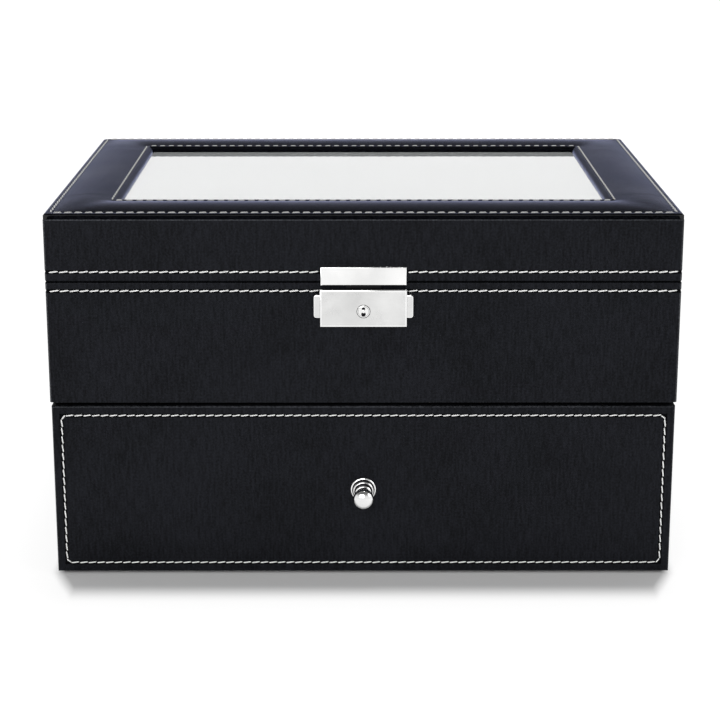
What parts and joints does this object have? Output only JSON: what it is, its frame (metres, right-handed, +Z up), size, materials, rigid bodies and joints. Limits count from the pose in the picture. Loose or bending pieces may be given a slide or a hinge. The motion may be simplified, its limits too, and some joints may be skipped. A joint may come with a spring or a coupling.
{
  "type": "watch box",
  "caption": "Leather-covered watch box with a hinged window lid over a cushioned tray, a cushioned drawer below, and a press lock with a key plug.",
  "frame": {"origin": "centre of the underside of the base, on the surface the box stands on", "axes": "+X to the right of someone facing the front, +Y to the back, +Z up; the knob and lock face -Y"},
  "size_m": [0.2908, 0.2215, 0.1764],
  "materials": {
    "black_leather": "fine-grained black leather, satin",
    "pad_leather": "smooth black leather over thin foam, satin",
    "velvet": "pale grey short-pile velvet",
    "felt": "black felt",
    "board": "plain fibreboard",
    "black_paper": "fibreboard wrapped in black paper",
    "polished_nickel": "polished plating",
    "satin_nickel": "satin plating",
    "pane": "clear float glass"
  },
  "bodies": {
    "case": {"base_felt": "felt", "base_panel": "board", "left_side_panel": "board", "right_side_panel": "board", "back_panel": "board", "front_panel": "board", "shelf_panel": "board", "case_wrap": "black_leather", "upper_lining": "velvet", "upper_dividers": "velvet", "hinge_case_leaves": "satin_nickel", "hinge_pins": "satin_nickel", "hinge_case_screws": "satin_nickel", "lock_base_plate": "satin_nickel", "lock_cover": "satin_nickel", "lock_spring": "satin_nickel", "upper_cushion_01": "velvet", "upper_cushion_02": "velvet", "upper_cushion_03": "velvet", "upper_cushion_04": "velvet", "upper_cushion_05": "velvet", "upper_cushion_06": "velvet", "upper_cushion_07": "velvet", "upper_cushion_08": "velvet", "upper_cushion_09": "velvet", "upper_cushion_10": "velvet"},
    "lid": {"lid_front_rail": "board", "lid_back_rail": "board", "lid_left_rail": "board", "lid_right_rail": "board", "lid_wrap": "black_leather", "lid_top_board": "black_paper", "lid_pad": "pad_leather", "lid_glass": "pane", "lid_lining": "velvet", "hinge_lid_leaves": "satin_nickel", "hinge_lid_screws": "satin_nickel", "hasp_plate": "polished_nickel"},
    "drawer": {"drawer_front_panel": "black_paper", "drawer_front_wrap": "black_leather", "drawer_left_side": "black_paper", "drawer_right_side": "black_paper", "drawer_back": "black_paper", "drawer_bottom": "black_paper", "drawer_lining": "velvet", "drawer_dividers": "velvet", "knob": "polished_nickel", "knob_screw": "satin_nickel", "drawer_cushion_01": "velvet", "drawer_cushion_02": "velvet", "drawer_cushion_03": "velvet", "drawer_cushion_04": "velvet", "drawer_cushion_05": "velvet", "drawer_cushion_06": "velvet", "drawer_cushion_07": "velvet", "drawer_cushion_08": "velvet", "drawer_cushion_09": "velvet", "drawer_cushion_10": "velvet"},
    "lock_slider": {"lock_slider": "satin_nickel"},
    "lock_plug": {"lock_plug": "polished_nickel"}
  },
  "joints": [
    {"name": "lid_hinge", "type": "hinge", "parent": "case", "child": "lid", "pos_m": [0, 0.1023, 0.1426], "axis": [-1, 0, 0], "range_deg": [0, 100]},
    {"name": "drawer_slide", "type": "slide", "parent": "case", "child": "drawer", "axis": [0, -1, 0], "range_m": [0, 0.16]},
    {"name": "lock_press", "type": "slide", "parent": "case", "child": "lock_slider", "axis": [0, 0, -1], "range_m": [0, 0.003], "stiffness_N_per_m": 400, "springref_m": -0.005, "deforming": ["lock_spring"]},
    {"name": "key_turn", "type": "hinge", "parent": "case", "child": "lock_plug", "pos_m": [0, -0.1037, 0.1298], "axis": [0, 1, 0], "range_deg": [0, 90]}
  ]
}
